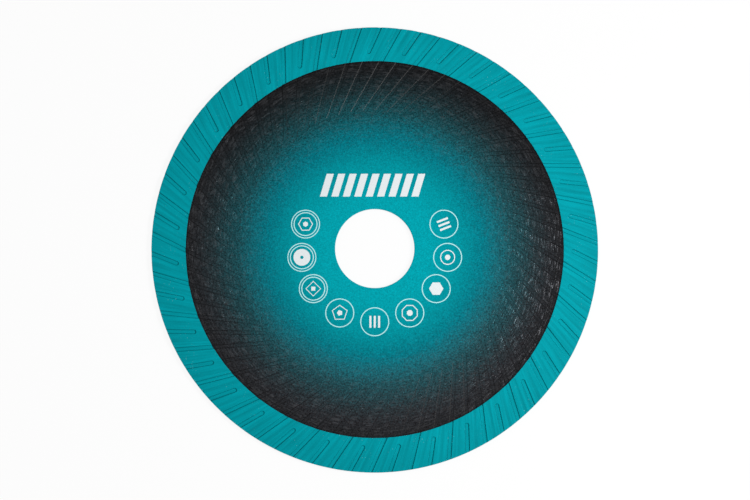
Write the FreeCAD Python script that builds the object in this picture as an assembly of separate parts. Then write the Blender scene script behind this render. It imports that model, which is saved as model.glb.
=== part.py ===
"""Diamond cutting disc: a stamped steel core with a continuous, slotted diamond rim.

The disc lies flat. Its origin is the centre of the arbor bore at half the disc's thickness, and +Z points
out of the front face. All sizes are in millimetres.
"""
import FreeCAD, Part
import math
import os

# Whole disc
DISC_DIAMETER = 125.0
BORE_DIAMETER = 22.23

# Steel core
CORE_THICKNESS = 1.0
BORE_CHAMFER = 0.1

# Diamond rim: its height is measured along a radius, and it stands out past each face of the core
RIM_HEIGHT = 9.6
RIM_SIDE_CLEARANCE = 0.1

# Slanted pattern on each face: every line keeps the same distance from the disc's centre
SLOT_PAIRS = 35
SLOT_OFFSET = 24.15
FIRST_LONG_SLOT_DEG = 63.0

# Slots pressed into the rim, and the land left behind the round end of a short one
SLOT_WIDTH = 1.3
SLOT_DEPTH = 0.24
SLOT_WALL_RUN = 0.22
SHORT_SLOT_LAND = 2.1

# Grooves coined into the core, in line with the slots, and the land left between them and the rim
GROOVE_WIDTH = 1.25
GROOVE_DEPTH = 0.12
GROOVE_WALL_RUN = 0.25
GROOVE_REACH = 14.7
GROOVE_LAND = 0.1

# Flat facets that make the inner end of a slot or a groove
SHORT_SLOT_FACETS = 6
GROOVE_FACETS = 3
LONG_SLOT_FACETS = 1

# How far a cutter stands out past the surfaces that it cuts through
CUTTER_MARGIN = 0.5

FULL_TURN_DEG = 360.0
UP = FreeCAD.Vector(0, 0, 1)
CENTRE = FreeCAD.Vector(0, 0, 0)

DISC_RADIUS = DISC_DIAMETER / 2
BORE_RADIUS = BORE_DIAMETER / 2
RIM_INNER_RADIUS = DISC_RADIUS - RIM_HEIGHT
CORE_FACE = CORE_THICKNESS / 2
RIM_FACE = CORE_FACE + RIM_SIDE_CLEARANCE
PAIR_PITCH_DEG = FULL_TURN_DEG / SLOT_PAIRS
SLOT_PITCH_DEG = PAIR_PITCH_DEG / 2


def turned(section):
    """The ring that a closed section of (radius, height) corners sweeps about the disc's axis."""
    corners = [FreeCAD.Vector(radius, 0, height) for radius, height in section]
    face = Part.Face(Part.makePolygon(corners + corners[:1]))
    return face.revolve(CENTRE, UP, FULL_TURN_DEG)


def core_blank():
    """The flat steel blank, with both edges of its bore broken."""
    chamfer_top = CORE_FACE - BORE_CHAMFER
    chamfer_radius = BORE_RADIUS + BORE_CHAMFER
    return turned([
        (BORE_RADIUS, -chamfer_top),
        (chamfer_radius, -CORE_FACE),
        (RIM_INNER_RADIUS, -CORE_FACE),
        (RIM_INNER_RADIUS, CORE_FACE),
        (chamfer_radius, CORE_FACE),
        (BORE_RADIUS, chamfer_top),
    ])


def rim_blank():
    """The rim before its slots: a plain ring around the core's edge."""
    return turned([
        (RIM_INNER_RADIUS, -RIM_FACE),
        (DISC_RADIUS, -RIM_FACE),
        (DISC_RADIUS, RIM_FACE),
        (RIM_INNER_RADIUS, RIM_FACE),
    ])


def along_line(radius):
    """How far along a slanted line a circle lies, from the line's point nearest the disc's centre.

    The line runs parallel to X at y = SLOT_OFFSET, and out towards +X.
    """
    return math.sqrt(radius ** 2 - SLOT_OFFSET ** 2)


def line_outline(tip, mouth_radius, half_width, facets, height):
    """Corners of a long outline about the slanted line, from its faceted tip to its mouth.

    The mouth lies on a tangent of the circle of the given radius.
    """
    bend = tip + half_width
    corners = []
    for step in range(facets + 1):
        turn = math.pi * (1 / 2 + step / facets)
        x = bend + half_width * math.cos(turn)
        y = SLOT_OFFSET + half_width * math.sin(turn)
        corners.append(FreeCAD.Vector(x, y, height))
    mouth = along_line(mouth_radius)
    skew = SLOT_OFFSET / mouth
    for side in (-half_width, half_width):
        corners.append(FreeCAD.Vector(mouth - side * skew, SLOT_OFFSET + side, height))
    return corners


def closed_solid(loops):
    """The solid whose flat faces are the given loops of corners."""
    faces = [Part.Face(Part.makePolygon(loop + loop[:1])) for loop in loops]
    return Part.Solid(Part.Shell(faces))


def slanted_cutter(tip_radius, mouth_radius, facets, width, depth, wall_run, face_height):
    """A cutter with leaning walls, which sinks a slot of that width and depth into a face."""
    rise = CUTTER_MARGIN * wall_run / depth
    tip = along_line(tip_radius)
    floor = line_outline(
        tip + wall_run, mouth_radius, width / 2 - wall_run, facets, face_height - depth
    )
    top = line_outline(
        tip - rise, mouth_radius, width / 2 + rise, facets, face_height + CUTTER_MARGIN
    )
    walls = []
    for index, corner in enumerate(floor):
        following = (index + 1) % len(floor)
        walls.append([corner, floor[following], top[following], top[index]])
    return closed_solid([floor, top] + walls)


def long_slot_cutter():
    """A slot that runs right across the rim, out through both of its edges."""
    return slanted_cutter(
        RIM_INNER_RADIUS - SLOT_WIDTH, DISC_RADIUS + CUTTER_MARGIN, LONG_SLOT_FACETS,
        SLOT_WIDTH, SLOT_DEPTH, SLOT_WALL_RUN, RIM_FACE,
    )


def short_slot_cutter():
    """A slot that runs in from the cutting edge and stops at a round end inside the rim."""
    return slanted_cutter(
        RIM_INNER_RADIUS + SHORT_SLOT_LAND, DISC_RADIUS + CUTTER_MARGIN, SHORT_SLOT_FACETS,
        SLOT_WIDTH, SLOT_DEPTH, SLOT_WALL_RUN, RIM_FACE,
    )


def groove_cutter():
    """A shallow groove in the core, which carries the line of a slot on towards the centre."""
    return slanted_cutter(
        RIM_INNER_RADIUS - GROOVE_REACH, RIM_INNER_RADIUS - GROOVE_LAND, GROOVE_FACETS,
        GROOVE_WIDTH, GROOVE_DEPTH, GROOVE_WALL_RUN, CORE_FACE,
    )


def around(cutter, start_deg, pitch_deg, count):
    """Copies of a cutter about the disc's axis, the first with its line meeting the edge at the start."""
    edge_deg = math.degrees(math.asin(SLOT_OFFSET / DISC_RADIUS))
    copies = []
    for index in range(count):
        copy = cutter.copy()
        copy.rotate(CENTRE, UP, start_deg - edge_deg + index * pitch_deg)
        copies.append(copy)
    return copies


def on_both_faces(front_cutters):
    """The front's cutters, and the same again on the back, half a slot's pitch further round."""
    back_cutters = []
    for cutter in front_cutters:
        copy = cutter.mirror(CENTRE, UP)
        copy.rotate(CENTRE, UP, SLOT_PITCH_DEG / 2)
        back_cutters.append(copy)
    return front_cutters + back_cutters


def steel_core():
    """The blank with a groove on the line of every slot, long or short."""
    grooves = around(groove_cutter(), FIRST_LONG_SLOT_DEG, SLOT_PITCH_DEG, 2 * SLOT_PAIRS)
    return core_blank().cut(on_both_faces(grooves))


def diamond_rim():
    """The rim with its long and short slots in turn."""
    first_short_slot_deg = FIRST_LONG_SLOT_DEG + SLOT_PITCH_DEG
    long_slots = around(long_slot_cutter(), FIRST_LONG_SLOT_DEG, PAIR_PITCH_DEG, SLOT_PAIRS)
    short_slots = around(short_slot_cutter(), first_short_slot_deg, PAIR_PITCH_DEG, SLOT_PAIRS)
    return rim_blank().cut(on_both_faces(long_slots + short_slots))


os.makedirs("parts", exist_ok=True)
steel_core().exportStep("parts/steel_core.step")
diamond_rim().exportStep("parts/diamond_rim.step")
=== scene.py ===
"""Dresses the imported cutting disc.

Its edges are eased, its core is printed, its rim is painted, plain marks stand round the bore, and it lies
on a white floor under soft light. Lengths are in metres, and the materials' own patterns in millimetres.
"""
import math

import bmesh
import bpy
from mathutils import Matrix, Vector


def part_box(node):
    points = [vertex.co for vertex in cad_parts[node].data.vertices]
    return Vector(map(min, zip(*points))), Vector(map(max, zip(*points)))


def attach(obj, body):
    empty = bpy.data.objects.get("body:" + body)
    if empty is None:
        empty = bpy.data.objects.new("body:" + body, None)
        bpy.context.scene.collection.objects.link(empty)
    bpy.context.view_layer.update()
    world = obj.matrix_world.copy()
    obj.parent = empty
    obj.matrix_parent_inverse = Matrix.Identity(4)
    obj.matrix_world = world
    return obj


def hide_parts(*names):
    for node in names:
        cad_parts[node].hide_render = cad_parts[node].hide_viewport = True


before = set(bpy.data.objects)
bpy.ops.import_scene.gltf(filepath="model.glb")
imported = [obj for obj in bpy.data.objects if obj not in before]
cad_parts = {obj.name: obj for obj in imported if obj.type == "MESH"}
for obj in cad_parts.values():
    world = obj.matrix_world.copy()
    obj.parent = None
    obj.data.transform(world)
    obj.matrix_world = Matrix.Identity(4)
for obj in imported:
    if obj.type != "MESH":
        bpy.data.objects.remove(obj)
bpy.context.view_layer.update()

bl_info = {
    "name": "Cutting Disc Finish",
    "version": (1, 0, 0),
    "blender": (4, 5, 0),
    "location": "3D View > Sidebar > Disc",
    "description": "Eases, prints and paints the packed cutting disc, and sets its floor, light and camera",
    "category": "Object",
}

MM = 0.001
PER_MM = 1000.0
FULL_TURN = 2 * math.pi

BODY = "root"
CORE_NODE = "steel_core"
RIM_NODE = "diamond_rim"

# Faces of the imported pieces, read from their meshes, in millimetres
CORE_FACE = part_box(CORE_NODE)[1].z * PER_MM
CORE_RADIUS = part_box(CORE_NODE)[1].x * PER_MM
RIM_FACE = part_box(RIM_NODE)[1].z * PER_MM
RIM_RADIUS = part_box(RIM_NODE)[1].x * PER_MM

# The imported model's slanted pattern: evenly spaced lines, all at one distance in millimetres from the
# centre, and the bearing in degrees at which the first one meets the disc's edge
LINE_COUNT = 70
LINE_OFFSET = 24.15
FIRST_BEARING = 63.0
FIRST_LINE = math.radians(FIRST_BEARING) - math.asin(LINE_OFFSET / RIM_RADIUS)

SENSOR_WIDTH = 36.0

# Edges that turn by more than this are rounded, and faces that turn by less are one face
SHARP_TURN = math.radians(14)
FLAT_TURN = math.radians(0.5)

# Corners closer than this are one, in metres, and a face whose normal rises by less is upright and smooth
MERGE_DISTANCE = 1e-6
UPRIGHT_RISE = 0.01

# An edge within this distance of the core's outer edge, in millimetres, is part of that edge
SEAT_MARGIN = 0.02

# Upright part of the normal at which a wall's mask begins and is full, and where the disc's own edges end
CORE_WALL_SLOPES = (0.985, 0.93)
RIM_WALL_SLOPES = (0.97, 0.85)
OWN_EDGE_SLOPES = (0.3, 0.5)

# Rightward part of the normal at which the painted shade on the core's walls begins and is full, and the
# same for the rim's walls that take the deepest painted shade
CORE_DARK_FACING = (-0.39, 0.13)
RIM_DARK_FACING = (-0.3, -0.66)

# Stretches of the radius, in millimetres, over which the painted shade on the walls comes in and the warmer
# spray comes and goes
WALL_STRETCH = (34.0, 45.0)
WARM_START = (29.0, 36.0)
WARM_END = (46.0, 52.0)

# Radius in millimetres from which the rim's paint darkens towards the cutting edge
EDGE_START = 55.0

# The floor lies this far below the rim, in millimetres, so that their faces don't coincide
FLOOR_GAP = 0.01

# How far the floor reaches each way, in metres, how light it is, and how far it is seen as plain white
FLOOR_REACH = 3.0
FLOOR_SHADE = 0.93
FLOOR_GLOW = 0.9

# The point that the camera looks at, in millimetres
AIM = Vector((0.07, -0.41, 0.0))

# Each lamp's place and its width and height, in metres, and the setting that holds its power
LAMPS = {
    "side_lamp": ((0.61, -0.11, 0.48), (0.30, 0.30), "side_power"),
    "left_lamp": ((-0.53, 0.166, 0.43), (0.22, 0.08), "left_power"),
    "near_lamp": ((0.15, -0.028, 0.165), (0.10, 0.028), "near_power"),
}

# The row of bars: its box in millimetres, how far a bar leans for its height, and the share of its pitch
# that it fills
BARS_LEFT, BARS_RIGHT, BARS_BOTTOM, BARS_TOP = -16.0, 14.8, 14.58, 21.0
BAR_LEAN = 0.3
BAR_FILL = 0.62

# A square with sides of 1 lies on a circle of this radius
SQUARE_RADIUS = math.sqrt(0.5)

# The ring marks: how many are double, the step between their two rings in millimetres, and a ring's corners
DOUBLE_RINGS = 3
RING_STEP = 0.7
RING_CORNERS = 72

# Parts of a figure as shares of its size: the patch in an outline, a washer's width, and a stripe's pitch,
# width and height
PATCH_SHARE = 0.36
WASHER_SHARE = 0.8
STRIPE_PITCH, STRIPE_WIDTH, STRIPE_HEIGHT = 0.55, 0.26, 1.5

# Bearings of the ring marks in degrees from straight down, and what stands inside each: its kind, its number
# of corners, its size in millimetres and its turn
RING_STEPS = (-109.4, -83.0, -56.7, -28.4, 0.0, 28.4, 56.7, 83.0, 109.4)
FIGURES = (
    ("outline", 6, 2.1, 0.0),
    ("washer", 48, 2.35, 0.0),
    ("outline", 4, 2.2, 0.0),
    ("outline", 5, 2.3, math.pi / 2),
    ("bars", 4, 2.2, 0.0),
    ("outline", 8, 2.4, math.pi / 8),
    ("filled", 6, 2.0, math.pi / 6),
    ("outline", 48, 2.1, 0.0),
    ("bars", 4, 2.2, -1.2),
)


def linear(red, green, blue):
    """The scene colour of a display colour given from 0 to 255."""
    def channel(value):
        share = value / 255
        return share / 12.92 if share <= 0.04045 else ((share + 0.055) / 1.055) ** 2.4
    return channel(red), channel(green), channel(blue), 1.0


class Socket:
    """An output of a material's node. Arithmetic on it adds Math nodes."""

    def __init__(self, finish, output):
        self.finish = finish
        self.output = output

    def math(self, operation, *values):
        """A Math node of that operation on the values."""
        return self.finish.node("Math", {"operation": operation}, dict(enumerate(values)))

    def __add__(self, other):
        return self.math("ADD", self, other)

    def __sub__(self, other):
        return self.math("SUBTRACT", self, other)

    def __rsub__(self, other):
        return self.math("SUBTRACT", other, self)

    def __mul__(self, other):
        return self.math("MULTIPLY", self, other)

    def __truediv__(self, other):
        return self.math("DIVIDE", self, other)

    def __rtruediv__(self, other):
        return self.math("DIVIDE", other, self)

    def __pow__(self, other):
        return self.math("POWER", self, other)

    __radd__ = __add__
    __rmul__ = __mul__


class Finish:
    """A new material, built up node by node."""

    def __init__(self, name):
        self.material = bpy.data.materials.new(name)
        self.material.use_nodes = True
        self.tree = self.material.node_tree
        self.tree.nodes.clear()

    def node(self, kind, settings=None, inputs=None, output=0):
        """A node of that kind with its settings and its inputs, which are values or sockets."""
        added = self.tree.nodes.new("ShaderNode" + kind)
        for name, value in (settings or {}).items():
            if name == "stops":
                self.set_stops(added.color_ramp, value)
            else:
                setattr(added, name, value)
        for name, value in (inputs or {}).items():
            if isinstance(value, Socket):
                self.tree.links.new(value.output, added.inputs[name])
            else:
                added.inputs[name].default_value = value
        return Socket(self, added.outputs[output]) if added.outputs else None

    @staticmethod
    def set_stops(ramp, stops):
        """Gives a colour ramp its (position, colour) stops."""
        ramp.interpolation = "LINEAR"
        while len(ramp.elements) < len(stops):
            ramp.elements.new(1.0)
        for element, (position, colour) in zip(ramp.elements, stops):
            element.position = position
            element.color = colour

    def millimetres(self):
        """Object coordinates in millimetres."""
        place = self.node("TexCoord", output="Object")
        return self.node("VectorMath", {"operation": "SCALE"}, {0: place, "Scale": PER_MM})

    def axes(self, vector):
        """The three parts of a vector."""
        split = self.tree.nodes.new("ShaderNodeSeparateXYZ")
        self.tree.links.new(vector.output, split.inputs[0])
        return [Socket(self, output) for output in split.outputs]

    def vector(self, x, y, z):
        """A vector from three parts."""
        return self.node("CombineXYZ", None, {0: x, 1: y, 2: z})

    def noise(self, vector, scale, detail=2.0, roughness=0.5):
        """Noise about zero, with so many lumps to a unit of the vector."""
        value = self.node("TexNoise", None, {
            "Vector": vector, "Scale": scale, "Detail": detail, "Roughness": roughness,
        })
        return value - 0.5

    def between(self, value, low, high):
        """0 up to low and 1 from high on, with a smooth step between."""
        return self.node("MapRange", {"interpolation_type": "SMOOTHSTEP"}, {
            "Value": value, "From Min": low, "From Max": high,
        })

    def mix(self, share, first, second):
        """The first colour with a share of the second laid over it."""
        return self.node("Mix", {"data_type": "RGBA"}, {0: share, 6: first, 7: second}, output=2)

    def scaled(self, colour, shade):
        """A colour made lighter or darker by a factor."""
        return self.node("VectorMath", {"operation": "SCALE"}, {0: colour, "Scale": shade})

    def bump(self, height, depth, strength=1.0):
        """A normal from a height field, whose 1 stands for that many millimetres."""
        return self.node("Bump", None, {"Height": height, "Distance": depth * MM, "Strength": strength})

    def surface(self, inputs):
        """Ends the material in a shader with those inputs."""
        shader = self.node("BsdfPrincipled", None, inputs)
        self.node("OutputMaterial", None, {"Surface": shader})
        return self.material


def wall_mask(finish, flat, full):
    """Where the leaning walls of the pressed lines are, and how far each faces right.

    The mask is 1 on the walls, and 0 on the flat faces and on the disc's own edges.
    """
    rightward, _, slope = finish.axes(finish.node("NewGeometry", output="Normal"))
    upright = slope.math("ABSOLUTE", slope)
    return finish.between(upright, flat, full) * finish.between(upright, *OWN_EDGE_SLOPES), rightward


def core_tone(finish, look, place, radius):
    """The print's colour, broken up by the spray as it fades from teal to black."""
    spray = finish.noise(place, 1.7, detail=3.0, roughness=0.75)
    fade = (radius + spray * look.fade_grain - look.fade_start) / (look.fade_end - look.fade_start)
    return finish.node("ValToRGB", {"stops": [
        (0.0, (*look.teal, 1.0)),
        (0.22, linear(0, 147, 158)),
        (0.42, linear(2, 117, 130)),
        (0.63, linear(25, 76, 83)),
        (0.81, linear(32, 47, 51)),
        (0.92, linear(30, 33, 36)),
        (1.0, (*look.black, 1.0)),
    ]}, {"Fac": fade})


def painted_light_tilt(finish, look, x, y, radius):
    """Painted shade and light: the black darker towards the top of the face and lighter at lower left."""
    painted_tilt = 0.26 - (x * 0.08 + y * 0.15) / CORE_RADIUS - finish.between(y, 5.0, 45.0) * 0.36
    return 1.0 + painted_tilt * finish.between(radius, look.fade_end - 14, look.fade_end)


def warm_spray(finish, x, y, radius):
    """A little red half-way through the fade, where the spray is warmer towards the foot of the face."""
    half_way = finish.between(radius, *WARM_START) * (1.0 - finish.between(radius, *WARM_END))
    warm = (0.0014 + (x * 0.001 - y * 0.0037) / radius) * half_way
    return finish.vector(warm, 0.0, 0.0)


def core_finish(look):
    """Satin print over ground steel: teal round the bore, fading through a grainy spray to black.

    The grooves' walls and the foot of the rim carry painted shade, and the black painted light and shade.
    """
    finish = Finish("core_print")
    place = finish.millimetres()
    x, y, z = finish.axes(place)
    radius = (x * x + y * y) ** 0.5

    # Short streaks round the axis, where the ridges of the ground steel show through the black
    round_axis = finish.vector(x / radius * 19, y / radius * 19, radius * 2.2)
    streak = finish.noise(round_axis, 1.0, detail=1.0)
    clump = finish.between(finish.noise(place, 0.34, detail=1.0), -0.14, 0.16)
    glint_share = finish.between(radius, look.fade_start + 10, look.fade_end - 6)
    wall, rightward = wall_mask(finish, *CORE_WALL_SLOPES)
    height = finish.between(z.math("ABSOLUTE", z), CORE_FACE - 0.09, CORE_FACE - 0.01)
    rim_shadow_band = finish.between(radius, CORE_RADIUS - 0.55, CORE_RADIUS - 0.2)
    open_share = (1.0 - wall) * (0.6 + 0.4 * height) * (1.0 - rim_shadow_band)
    bare = finish.between(streak, -0.02, 0.1) * glint_share * open_share * (0.35 + 0.6 * clump)

    # Painted shade: the print is darkened in a thin line at the foot of the rim's step, as its shadow,
    # and on the outer stretch of the grooves' walls, other than those that face left
    painted_groove_shade = wall * finish.between(radius, *WALL_STRETCH) * finish.between(rightward, *CORE_DARK_FACING)
    dark_share = finish.between(radius, look.fade_start + 7, look.fade_end - 7)
    mottle = finish.noise(place, 2.7, roughness=0.6)
    shade = 1.0 + mottle * (look.mottle * (0.28 + dark_share * 0.72))
    shade = shade * (1.0 - painted_groove_shade * look.wall_shade) * (1.0 - rim_shadow_band * 0.25)
    # Painted light and shade over the black: darker at the top of the face, lighter at lower left
    shade = shade * painted_light_tilt(finish, look, x, y, radius)

    printed = finish.node("VectorMath", {"operation": "ADD"}, {
        0: finish.scaled(core_tone(finish, look, place, radius), shade),
        1: warm_spray(finish, x, y, radius),
    })
    relief = (0.05 + glint_share * 0.95) * open_share
    return finish.surface({
        "Base Color": finish.mix(bare * look.bare_share, printed, (*look.steel, 1.0)),
        "Metallic": bare * look.bare_gloss,
        "Roughness": 0.3 - bare * 0.1 - wall * 0.12,
        "Specular IOR Level": 0.032,
        "Normal": finish.bump(streak + mottle * 0.45, look.streak_depth, relief),
    })


def rim_finish(look):
    """Satin paint over a sintered rim: grain, traces of the other face's slots, painted shade and glints."""
    finish = Finish("rim_paint")
    place = finish.millimetres()
    x, y, _ = finish.axes(place)
    radius = (x * x + y * y) ** 0.5
    line = x.math("ARCTAN2", y, x) - x.math("ARCSINE", LINE_OFFSET / radius)

    # Half-way between the slots, the slots on the other face show through as a shallow dip
    phase = x.math("COSINE", (line - FIRST_LINE) * LINE_COUNT)
    dip = finish.between(phase, -0.72, -0.99)

    # Fine lines left by the mould, on the same slant
    slanted = finish.vector(x.math("COSINE", line) * 75, x.math("SINE", line) * 75, radius * 0.1)
    mould = finish.noise(slanted, 1.0, roughness=0.6)

    grain = finish.noise(place, 2.4, detail=3.0, roughness=0.65)
    # Painted highlights: sparse pale specks, in clusters, where diamond grains under the paint glint
    cluster = finish.between(finish.noise(place, 0.2, detail=1.0), -0.05, 0.2)
    grit_glint = finish.between(finish.noise(place, 3.3, detail=0.0), 0.26, 0.36) * cluster
    edge = finish.between(radius, EDGE_START, RIM_RADIUS)

    # Painted shade: the slots' walls are darkened, most of all those facing left, away from the side lamp
    wall, rightward = wall_mask(finish, *RIM_WALL_SLOPES)
    leftward = finish.between(rightward, *RIM_DARK_FACING)
    shade = 1.0 - edge * look.edge_shade + grain * look.grain + mould * look.mould
    painted_slot_shade = wall * look.wall_shade * (0.6 + leftward * 0.4)
    shade = shade * (1.0 - painted_slot_shade) * (1.0 - dip * look.show_through)
    # Painted light and shade: the paint is lighter towards the top of the face and darker towards the bottom
    shade = shade * (0.98 + y * 0.035 / RIM_RADIUS)
    painted = finish.scaled(tuple(look.teal), shade)
    return finish.surface({
        "Base Color": finish.mix(grit_glint * look.grit_glint, painted, (*look.grit_glint_colour, 1.0)),
        "Roughness": 0.5,
        "Specular IOR Level": 0.03,
        "Normal": finish.bump(grain * 0.5 + mould * 0.6 - dip * 0.7, look.relief),
    })


def ink_finish(name, ink):
    """Pale printing ink, a little uneven."""
    finish = Finish(name)
    grain = finish.noise(finish.millimetres(), 3.0)
    thin = [channel * 0.9 for channel in ink]
    colour = finish.mix(0.5 + grain, (*ink, 1.0), (*thin, 1.0))
    return finish.surface({
        "Base Color": colour,
        "Roughness": 0.5,
        "Specular IOR Level": 0.15,
    })


def floor_finish():
    """A white floor that keeps the disc's shadow."""
    finish = Finish("white_floor")
    path = finish.tree.nodes.new("ShaderNodeLightPath")
    seen = Socket(finish, path.outputs["Is Camera Ray"])
    for name in ("Is Glossy Ray", "Is Transmission Ray"):
        seen = seen.math("MAXIMUM", seen, Socket(finish, path.outputs[name]))
    dull = finish.node("BsdfDiffuse", None, {"Color": (FLOOR_SHADE, FLOOR_SHADE, FLOOR_SHADE, 1.0)})
    glow = finish.node("Emission", None, {"Color": (1.0, 1.0, 1.0, 1.0), "Strength": 1.0})
    blend = finish.node("MixShader", None, {0: seen * FLOOR_GLOW, 1: dull, 2: glow})
    finish.node("OutputMaterial", None, {"Surface": blend})
    return finish.material


def piece_from(mesh_maker, name, material):
    """A new piece from a bmesh, at the origin, riding on the disc."""
    mesh = bpy.data.meshes.new(name)
    mesh_maker.to_mesh(mesh)
    mesh_maker.free()
    mesh.materials.append(material)
    piece = bpy.data.objects.new(name, mesh)
    bpy.context.scene.collection.objects.link(piece)
    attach(piece, BODY)
    return piece


def eased_copy(node, ease, left_sharp):
    """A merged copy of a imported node, with its sharp edges rounded, other than those left sharp."""
    shape = bmesh.new()
    shape.from_mesh(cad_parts[node].data)
    bmesh.ops.remove_doubles(shape, verts=shape.verts, dist=MERGE_DISTANCE)
    bmesh.ops.dissolve_limit(
        shape, angle_limit=FLAT_TURN, verts=shape.verts, edges=shape.edges, delimit=set(),
    )
    for face in shape.faces:
        face.smooth = abs(face.normal.z) < UPRIGHT_RISE
    sharp = [
        edge for edge in shape.edges
        if edge.calc_face_angle() > SHARP_TURN and not left_sharp(edge)
    ]
    rounded = bmesh.ops.bevel(
        shape, geom=sharp, offset=ease, offset_type="OFFSET", segments=2, profile=0.5,
        affect="EDGES", material=-1, clamp_overlap=True,
    )
    for face in rounded["faces"]:
        face.smooth = True
    bmesh.ops.recalc_face_normals(shape, faces=shape.faces)
    return shape


def radius_of(edge):
    """How far the nearer end of an edge lies from the disc's axis, in millimetres."""
    return min(vert.co.xy.length for vert in edge.verts) * PER_MM


def film_faces(look):
    """The heights of the lower and the upper face of the ink, the lower one just inside the core."""
    return CORE_FACE * MM - look.film / 2, CORE_FACE * MM + look.film


def film_ring(shape, centre, turn, outer, line, low, high, corners):
    """A ring of ink with a plain section, round or with so many corners, added to the bmesh."""
    section = [
        shape.verts.new((outer - step, 0, height))
        for step, height in ((0, low), (0, high), (line, high), (line, low))
    ]
    loop = [shape.edges.new((section[index - 1], section[index])) for index in range(4)]
    bmesh.ops.rotate(shape, verts=section, cent=(0, 0, 0), matrix=Matrix.Rotation(turn, 3, "Z"))
    bmesh.ops.translate(shape, verts=section, vec=centre)
    bmesh.ops.spin(
        shape, geom=section + loop, cent=centre, axis=(0, 0, 1), dvec=(0, 0, 0),
        angle=FULL_TURN, steps=corners, use_merge=True, use_duplicate=False,
    )


def film_patch(shape, centre, turn, size, corners, low, high, stretch=(1.0, 1.0), lean=0.0):
    """A filled patch of ink: a regular outline, stretched, leant over and turned, added to the bmesh."""
    made = bmesh.ops.create_circle(shape, cap_ends=True, radius=size, segments=corners)
    verts = made["verts"]
    if corners == 4:
        bmesh.ops.rotate(shape, verts=verts, cent=(0, 0, 0), matrix=Matrix.Rotation(math.pi / 4, 3, "Z"))
    bmesh.ops.scale(shape, verts=verts, vec=(*stretch, 1.0))
    leaning = Matrix(((1, lean, 0), (0, 1, 0), (0, 0, 1)))
    bmesh.ops.transform(shape, verts=verts, matrix=leaning.to_4x4())
    bmesh.ops.rotate(shape, verts=verts, cent=(0, 0, 0), matrix=Matrix.Rotation(turn, 3, "Z"))
    bmesh.ops.translate(shape, verts=verts, vec=(centre[0], centre[1], low))
    faces = list({face for vert in verts for face in vert.link_faces})
    raised = bmesh.ops.extrude_face_region(shape, geom=faces)
    top = [item for item in raised["geom"] if isinstance(item, bmesh.types.BMVert)]
    bmesh.ops.translate(shape, verts=top, vec=(0, 0, high - low))


def length(name, description, default):
    """A length setting in metres."""
    return bpy.props.FloatProperty(name=name, description=description, default=default, unit="LENGTH")


def share(name, description, default):
    """A setting from 0 to 1."""
    return bpy.props.FloatProperty(
        name=name, description=description, default=default, min=0.0, max=1.0, subtype="FACTOR",
    )


def number(name, description, default):
    """A setting without a unit."""
    return bpy.props.FloatProperty(name=name, description=description, default=default)


def power(name, description, default):
    """A setting in watts."""
    return bpy.props.FloatProperty(name=name, description=description, default=default, unit="POWER")


def colour(name, description, default):
    """A colour setting."""
    return bpy.props.FloatVectorProperty(
        name=name, description=description, default=default[:3], size=3, min=0.0, max=1.0,
        subtype="COLOR",
    )


class DiscCoreLook(bpy.types.PropertyGroup):
    """Sizes and colours of the printed core."""
    ease: length("Eased edge", "How far each sharp edge is rounded", 0.03 * MM)
    teal: colour("Teal", "Print round the bore", linear(0, 161, 173))
    black: colour("Black", "Print near the rim", linear(28, 28, 30))
    fade_start: number("Fade start", "Radius in millimetres at which the teal begins to fade", 15.0)
    fade_end: number("Fade end", "Radius in millimetres at which the print is black", 52.0)
    fade_grain: number("Spray grain", "How far in millimetres the spray breaks up the fade", 9.0)
    steel: colour("Steel", "Ground steel that shows through the print", linear(150, 152, 156))
    bare_share: share("Bare steel", "How much the steel lightens the streaks", 0.07)
    bare_gloss: share("Bare gloss", "How much the streaks glint as the steel does", 1.0)
    mottle: number("Mottling", "How uneven the print's colour is", 3.6)
    # Strength of the painted shade on the grooves' walls
    wall_shade: share("Wall shade", "How much darker the print is on the grooves' walls", 0.42)
    streak_depth: number("Streak depth", "Depth of the grinding streaks in millimetres", 0.22)


class DiscRimLook(bpy.types.PropertyGroup):
    """Sizes and colours of the painted rim."""
    ease: length("Eased edge", "How far each sharp edge is rounded", 0.04 * MM)
    teal: colour("Teal", "Paint of the rim", linear(0, 155, 167))
    # Colour of the painted glints of the diamond grains
    grit_glint_colour: colour("Grit", "Pale specks of diamond grit under the paint", linear(150, 222, 228))
    edge_shade: share("Edge shade", "How much darker the paint is at the cutting edge", 0.06)
    grain: share("Grain", "How uneven the paint's colour is", 0.25)
    mould: share("Mould lines", "How strongly the fine slanted lines show", 0.62)
    show_through: share("Print-through", "How strongly the slots of the other face show", 0.09)
    # Strength of the painted glints
    grit_glint: share("Specks", "How strongly the grit's specks show", 0.5)
    # Strength of the painted shade on the slots' walls
    wall_shade: share("Wall shade", "How much darker the coat is on the slots' walls", 0.5)
    relief: number("Relief", "Height of the grain and of the print-through in millimetres", 0.03)


class DiscMarksLook(bpy.types.PropertyGroup):
    """Sizes and colours of the plain marks round the bore."""
    ink: colour("Ink", "Colour of the bars and of the figures", linear(236, 243, 245))
    line_ink: colour("Line ink", "Colour of the thin rings", linear(190, 242, 244))
    film: length("Ink film", "How far the ink stands out past the core's face", 0.012 * MM)
    circle: length("Circle", "Radius of the circle on which the ring marks stand", 20.55 * MM)
    ring: length("Ring", "Outer radius of a ring mark", 4.05 * MM)
    line: length("Line", "Width of a line", 0.27 * MM)
    bars: bpy.props.IntProperty(name="Bars", description="Number of slanted bars", default=9)


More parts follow.
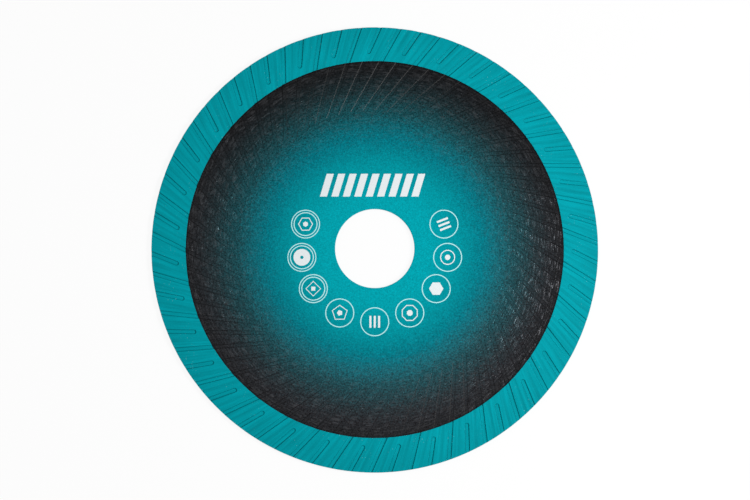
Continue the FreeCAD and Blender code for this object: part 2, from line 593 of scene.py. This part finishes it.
class DiscStageLook(bpy.types.PropertyGroup):
    """The camera's place and the strength of the light."""
    elevation: bpy.props.FloatProperty(
        name="Elevation", description="How high the camera stands", default=math.radians(85.6),
        subtype="ANGLE",
    )
    distance: length("Distance", "From the camera to the disc", 0.6652)
    lens: number("Lens", "Focal length in millimetres", 114.0)
    side_power: power("Side lamp", "Power of the lamp", 2.65)
    left_power: power("Left lamp", "Power of the lamp", 0.33)
    near_power: power("Near lamp", "Power of the lamp", 0.16)
    fill: share("Fill", "Strength of the even light all round", 0.46)


class DISC_OT_dress_core(bpy.types.Operator):
    """Rounds the edges of the steel core and prints it"""
    bl_idname = "disc.dress_core"
    bl_label = "Dress Core"

    def execute(self, context):
        look = context.scene.disc_core
        seat_radius = CORE_RADIUS - SEAT_MARGIN
        shape = eased_copy(CORE_NODE, look.ease, lambda edge: radius_of(edge) > seat_radius)
        piece = piece_from(shape, "printed_core", core_finish(look))
        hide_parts(CORE_NODE)
        return {"FINISHED"}


class DISC_OT_dress_rim(bpy.types.Operator):
    """Rounds the edges of the diamond rim and paints it"""
    bl_idname = "disc.dress_rim"
    bl_label = "Dress Rim"

    def execute(self, context):
        look = context.scene.disc_rim
        shape = eased_copy(RIM_NODE, look.ease, lambda edge: False)
        piece = piece_from(shape, "painted_rim", rim_finish(look))
        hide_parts(RIM_NODE)
        return {"FINISHED"}


class DISC_OT_print_bars(bpy.types.Operator):
    """Prints the row of plain slanted bars above the bore"""
    bl_idname = "disc.print_bars"
    bl_label = "Print Bars"

    def execute(self, context):
        look = context.scene.disc_marks
        low, high = film_faces(look)
        left, right, bottom, top = (side * MM for side in (BARS_LEFT, BARS_RIGHT, BARS_BOTTOM, BARS_TOP))
        tall = top - bottom
        pitch = (right - left - BAR_LEAN * tall) / look.bars
        wide = pitch * BAR_FILL
        shape = bmesh.new()
        for index in range(look.bars):
            middle = left + BAR_LEAN * tall / 2 + pitch * (index + 0.5)
            film_patch(
                shape, (middle, (bottom + top) / 2), 0.0, SQUARE_RADIUS, 4, low, high,
                stretch=(wide, tall), lean=BAR_LEAN,
            )
        bmesh.ops.recalc_face_normals(shape, faces=shape.faces)
        piece_from(shape, "bar_marks", ink_finish("bar_ink", look.ink))
        return {"FINISHED"}


class DISC_OT_print_rings(bpy.types.Operator):
    """Prints the nine ring marks round the bore, each with a plain figure"""
    bl_idname = "disc.print_rings"
    bl_label = "Print Rings"

    def execute(self, context):
        look = context.scene.disc_marks
        low, high = film_faces(look)
        rings, figures = bmesh.new(), bmesh.new()
        for index, step in enumerate(RING_STEPS):
            bearing = math.radians(step - 90)
            centre = Vector((look.circle * math.cos(bearing), look.circle * math.sin(bearing), 0))
            film_ring(rings, centre, 0.0, look.ring, look.line, low, high, RING_CORNERS)
            if index < DOUBLE_RINGS:
                inner = look.ring - RING_STEP * MM
                film_ring(rings, centre, 0.0, inner, look.line, low, high, RING_CORNERS)
            self.figure(figures, index, centre, look.line, low, high)
        for shape in (rings, figures):
            bmesh.ops.recalc_face_normals(shape, faces=shape.faces)
        piece_from(rings, "ring_marks", ink_finish("ring_ink", look.line_ink))
        piece_from(figures, "ring_figures", ink_finish("figure_ink", look.ink))
        return {"FINISHED"}

    @staticmethod
    def figure(shape, index, centre, line, low, high):
        """The plain figure inside a ring mark."""
        kind, corners, size, turn = FIGURES[index]
        outer = size * MM
        if kind == "outline":
            film_ring(shape, centre, turn, outer, line, low, high, corners)
            film_patch(shape, centre, turn, outer * PATCH_SHARE, corners, low, high)
        elif kind == "washer":
            film_ring(shape, centre, turn, outer, outer * WASHER_SHARE, low, high, corners)
        elif kind == "filled":
            film_patch(shape, centre, turn, outer, corners, low, high)
        else:
            for step in (-1, 0, 1):
                shift = Matrix.Rotation(turn, 3, "Z") @ Vector((step * outer * STRIPE_PITCH, 0, 0))
                film_patch(
                    shape, centre + shift, turn, SQUARE_RADIUS, corners, low, high,
                    stretch=(outer * STRIPE_WIDTH, outer * STRIPE_HEIGHT),
                )


class DISC_OT_set_stage(bpy.types.Operator):
    """Adds the floor, the light and the camera"""
    bl_idname = "disc.set_stage"
    bl_label = "Set Stage"

    def execute(self, context):
        look = context.scene.disc_stage
        self.add_floor()
        self.add_world(context.scene, look)
        for name, (place, size, setting) in LAMPS.items():
            self.add_lamp(name, place, size, getattr(look, setting))
        self.add_camera(context.scene, look)
        context.scene.view_settings.view_transform = "Standard"
        return {"FINISHED"}

    @staticmethod
    def add_floor():
        shape = bmesh.new()
        bmesh.ops.create_grid(shape, x_segments=1, y_segments=1, size=FLOOR_REACH)
        bmesh.ops.translate(shape, verts=shape.verts, vec=(0, 0, -(RIM_FACE + FLOOR_GAP) * MM))
        mesh = bpy.data.meshes.new("floor")
        shape.to_mesh(mesh)
        shape.free()
        mesh.materials.append(floor_finish())
        floor = bpy.data.objects.new("floor", mesh)
        bpy.context.scene.collection.objects.link(floor)

    @staticmethod
    def add_world(scene, look):
        world = bpy.data.worlds.new("studio")
        world.use_nodes = True
        nodes, links = world.node_tree.nodes, world.node_tree.links
        nodes.clear()
        path = nodes.new("ShaderNodeLightPath")
        shown, even = nodes.new("ShaderNodeBackground"), nodes.new("ShaderNodeBackground")
        shown.inputs["Strength"].default_value = 1.0
        even.inputs["Strength"].default_value = look.fill
        for background in (shown, even):
            background.inputs["Color"].default_value = (1.0, 1.0, 1.0, 1.0)
        seen = path.outputs["Is Camera Ray"]
        for name in ("Is Glossy Ray", "Is Transmission Ray"):
            either = nodes.new("ShaderNodeMath")
            either.operation = "MAXIMUM"
            links.new(seen, either.inputs[0])
            links.new(path.outputs[name], either.inputs[1])
            seen = either.outputs[0]
        blend, end = nodes.new("ShaderNodeMixShader"), nodes.new("ShaderNodeOutputWorld")
        links.new(seen, blend.inputs[0])
        links.new(even.outputs[0], blend.inputs[1])
        links.new(shown.outputs[0], blend.inputs[2])
        links.new(blend.outputs[0], end.inputs["Surface"])
        scene.world = world

    @staticmethod
    def add_lamp(name, place, size, power):
        """A soft flat lamp that faces the disc, with its width level."""
        lamp = bpy.data.lights.new(name, "AREA")
        lamp.shape, lamp.energy = "RECTANGLE", power
        lamp.size, lamp.size_y = size
        holder = bpy.data.objects.new(name, lamp)
        holder.location = place
        holder.rotation_euler = (-Vector(place)).to_track_quat("-Z", "Y").to_euler()
        bpy.context.scene.collection.objects.link(holder)

    @staticmethod
    def add_camera(scene, look):
        data = bpy.data.cameras.new("camera")
        data.lens, data.sensor_width = look.lens, SENSOR_WIDTH
        data.clip_start, data.clip_end = 0.01, 20.0
        camera = bpy.data.objects.new("camera", data)
        away = Vector((0, -math.cos(look.elevation), math.sin(look.elevation)))
        camera.location = AIM * MM + away * look.distance
        camera.rotation_euler = (math.pi / 2 - look.elevation, 0, 0)
        scene.collection.objects.link(camera)
        scene.camera = camera


class DISC_PT_finish(bpy.types.Panel):
    """Lists the disc's steps and settings"""
    bl_idname = "DISC_PT_finish"
    bl_label = "Cutting Disc"
    bl_space_type = "VIEW_3D"
    bl_region_type = "UI"
    bl_category = "Disc"

    def draw(self, context):
        for operator in OPERATORS:
            self.layout.operator(operator.bl_idname)
        for name in LOOKS:
            settings = getattr(context.scene, name)
            box = self.layout.box()
            for field in settings.__annotations__:
                box.prop(settings, field)


OPERATORS = (
    DISC_OT_dress_core,
    DISC_OT_dress_rim,
    DISC_OT_print_bars,
    DISC_OT_print_rings,
    DISC_OT_set_stage,
)
LOOKS = {
    "disc_core": DiscCoreLook,
    "disc_rim": DiscRimLook,
    "disc_marks": DiscMarksLook,
    "disc_stage": DiscStageLook,
}


def register():
    for kind in (*LOOKS.values(), *OPERATORS, DISC_PT_finish):
        bpy.utils.register_class(kind)
    for name, kind in LOOKS.items():
        setattr(bpy.types.Scene, name, bpy.props.PointerProperty(type=kind))


def unregister():
    for name in LOOKS:
        delattr(bpy.types.Scene, name)
    for kind in reversed((*LOOKS.values(), *OPERATORS, DISC_PT_finish)):
        bpy.utils.unregister_class(kind)


def main():
    register()
    bpy.ops.disc.dress_core()
    bpy.ops.disc.dress_rim()
    bpy.ops.disc.print_bars()
    bpy.ops.disc.print_rings()
    bpy.ops.disc.set_stage()


if __name__ == "__main__":
    main()
